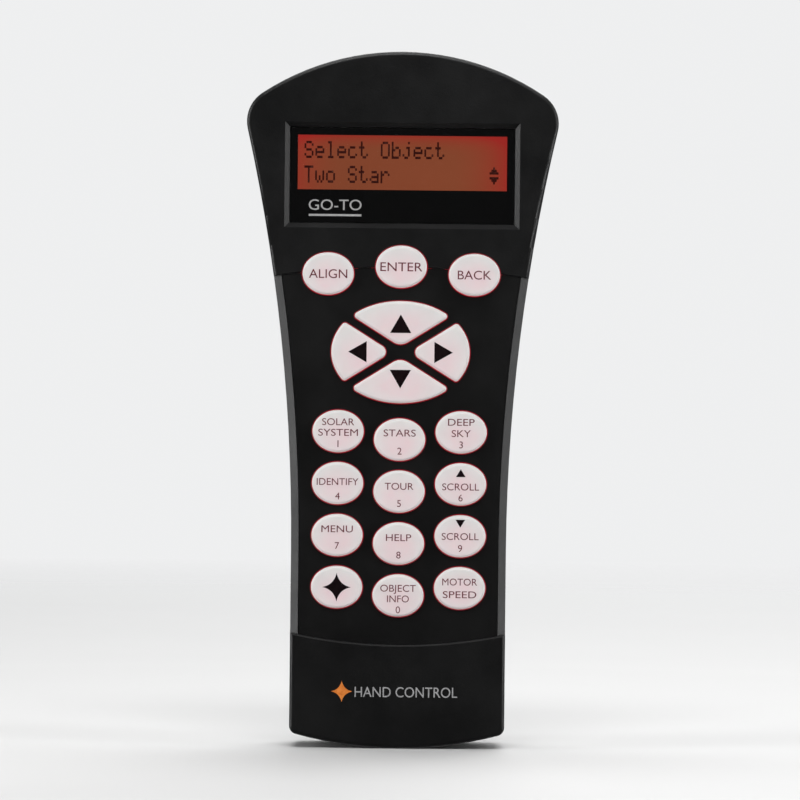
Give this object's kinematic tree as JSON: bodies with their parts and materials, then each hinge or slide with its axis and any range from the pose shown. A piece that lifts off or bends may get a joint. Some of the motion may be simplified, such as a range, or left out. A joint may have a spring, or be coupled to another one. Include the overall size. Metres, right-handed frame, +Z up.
{
  "type": "hand controller",
  "caption": "Black hand-held keypad with a flared head, a back-lit two-line display window, an arrow pad and oval back-lit keys.",
  "frame": {"origin": "centre of the flat back, midway between the crown and the lower end", "axes": "+Z up the handle towards the display, +X to the right seen from the front, +Y out of the back"},
  "size_m": [0.0914, 0.0286, 0.204],
  "materials": {
    "case": "fine-textured black moulded plastic",
    "panel": "satin black moulded plastic",
    "window": "clear polished window with a black printed border",
    "adhesive": "thin black adhesive foam",
    "tinplate": "blackened tinplate",
    "display_glass": "red back-lit liquid crystal glass",
    "light_guide": "moulded diffuser",
    "black_rubber": "matt black rubber",
    "silicone": "translucent silicone lit red from behind",
    "circuit_board": "solder mask on glass fibre",
    "carbon_print": "printed carbon",
    "lamp": "clear red lamp body",
    "chip_body": "epoxy package",
    "component": "ceramic and aluminium cans",
    "jack_housing": "black moulded plastic",
    "gold_contact": "gold-flashed spring wire",
    "header_plastic": "natural nylon",
    "screw_steel": "zinc-plated",
    "screw_black": "black oxide",
    "label": "satin silver film, blank",
    "key_cap": "white silicone, lit red from behind",
    "carbon_pill": "conductive carbon rubber"
  },
  "bodies": {
    "case": {"front_shell": "case", "rear_shell": "case", "keypad_panel": "panel", "lens": "window", "lens_gasket": "adhesive", "lcd_bezel": "tinplate", "lcd_glass": "display_glass", "lcd_light_guide": "light_guide", "zebra_strip": "black_rubber", "keypad_web": "silicone", "main_board": "circuit_board", "contact_pads": "carbon_print", "key_leds": "lamp", "control_chips": "chip_body", "board_parts": "component", "pc_port": "jack_housing", "pc_port_contacts": "gold_contact", "cord_gland": "black_rubber", "cord_header": "header_plastic", "board_screws": "screw_steel", "case_screws": "screw_black", "rear_label": "label"},
    "push_enter": {"key_enter": "key_cap", "pill_enter": "carbon_pill"},
    "push_align": {"key_align": "key_cap", "pill_align": "carbon_pill"},
    "push_back": {"key_back": "key_cap", "pill_back": "carbon_pill"},
    "push_up": {"key_up": "key_cap", "pill_up": "carbon_pill"},
    "push_down": {"key_down": "key_cap", "pill_down": "carbon_pill"},
    "push_left": {"key_left": "key_cap", "pill_left": "carbon_pill"},
    "push_right": {"key_right": "key_cap", "pill_right": "carbon_pill"},
    "push_0": {"key_0": "key_cap", "pill_0": "carbon_pill"},
    "push_1": {"key_1": "key_cap", "pill_1": "carbon_pill"},
    "push_2": {"key_2": "key_cap", "pill_2": "carbon_pill"},
    "push_3": {"key_3": "key_cap", "pill_3": "carbon_pill"},
    "push_4": {"key_4": "key_cap", "pill_4": "carbon_pill"},
    "push_5": {"key_5": "key_cap", "pill_5": "carbon_pill"},
    "push_6": {"key_6": "key_cap", "pill_6": "carbon_pill"},
    "push_7": {"key_7": "key_cap", "pill_7": "carbon_pill"},
    "push_8": {"key_8": "key_cap", "pill_8": "carbon_pill"},
    "push_9": {"key_9": "key_cap", "pill_9": "carbon_pill"},
    "push_symbol": {"key_symbol": "key_cap", "pill_symbol": "carbon_pill"},
    "push_speed": {"key_speed": "key_cap", "pill_speed": "carbon_pill"}
  },
  "joints": [
    {"name": "press_enter", "type": "slide", "parent": "case", "child": "push_enter", "axis": [0, 1, 0], "range_m": [0, 0.001], "stiffness_N_per_m": 400, "springref_m": -0.0005},
    {"name": "press_align", "type": "slide", "parent": "case", "child": "push_align", "axis": [0, 1, 0], "range_m": [0, 0.001], "stiffness_N_per_m": 400, "springref_m": -0.0005},
    {"name": "press_back", "type": "slide", "parent": "case", "child": "push_back", "axis": [0, 1, 0], "range_m": [0, 0.001], "stiffness_N_per_m": 400, "springref_m": -0.0005},
    {"name": "press_up", "type": "slide", "parent": "case", "child": "push_up", "axis": [0, 1, 0], "range_m": [0, 0.001], "stiffness_N_per_m": 400, "springref_m": -0.0005},
    {"name": "press_down", "type": "slide", "parent": "case", "child": "push_down", "axis": [0, 1, 0], "range_m": [0, 0.001], "stiffness_N_per_m": 400, "springref_m": -0.0005},
    {"name": "press_left", "type": "slide", "parent": "case", "child": "push_left", "axis": [0, 1, 0], "range_m": [0, 0.001], "stiffness_N_per_m": 400, "springref_m": -0.0005},
    {"name": "press_right", "type": "slide", "parent": "case", "child": "push_right", "axis": [0, 1, 0], "range_m": [0, 0.001], "stiffness_N_per_m": 400, "springref_m": -0.0005},
    {"name": "press_0", "type": "slide", "parent": "case", "child": "push_0", "axis": [0, 1, 0], "range_m": [0, 0.001], "stiffness_N_per_m": 400, "springref_m": -0.0005},
    {"name": "press_1", "type": "slide", "parent": "case", "child": "push_1", "axis": [0, 1, 0], "range_m": [0, 0.001], "stiffness_N_per_m": 400, "springref_m": -0.0005},
    {"name": "press_2", "type": "slide", "parent": "case", "child": "push_2", "axis": [0, 1, 0], "range_m": [0, 0.001], "stiffness_N_per_m": 400, "springref_m": -0.0005},
    {"name": "press_3", "type": "slide", "parent": "case", "child": "push_3", "axis": [0, 1, 0], "range_m": [0, 0.001], "stiffness_N_per_m": 400, "springref_m": -0.0005},
    {"name": "press_4", "type": "slide", "parent": "case", "child": "push_4", "axis": [0, 1, 0], "range_m": [0, 0.001], "stiffness_N_per_m": 400, "springref_m": -0.0005},
    {"name": "press_5", "type": "slide", "parent": "case", "child": "push_5", "axis": [0, 1, 0], "range_m": [0, 0.001], "stiffness_N_per_m": 400, "springref_m": -0.0005},
    {"name": "press_6", "type": "slide", "parent": "case", "child": "push_6", "axis": [0, 1, 0], "range_m": [0, 0.001], "stiffness_N_per_m": 400, "springref_m": -0.0005},
    {"name": "press_7", "type": "slide", "parent": "case", "child": "push_7", "axis": [0, 1, 0], "range_m": [0, 0.001], "stiffness_N_per_m": 400, "springref_m": -0.0005},
    {"name": "press_8", "type": "slide", "parent": "case", "child": "push_8", "axis": [0, 1, 0], "range_m": [0, 0.001], "stiffness_N_per_m": 400, "springref_m": -0.0005},
    {"name": "press_9", "type": "slide", "parent": "case", "child": "push_9", "axis": [0, 1, 0], "range_m": [0, 0.001], "stiffness_N_per_m": 400, "springref_m": -0.0005},
    {"name": "press_symbol", "type": "slide", "parent": "case", "child": "push_symbol", "axis": [0, 1, 0], "range_m": [0, 0.001], "stiffness_N_per_m": 400, "springref_m": -0.0005},
    {"name": "press_speed", "type": "slide", "parent": "case", "child": "push_speed", "axis": [0, 1, 0], "range_m": [0, 0.001], "stiffness_N_per_m": 400, "springref_m": -0.0005}
  ]
}
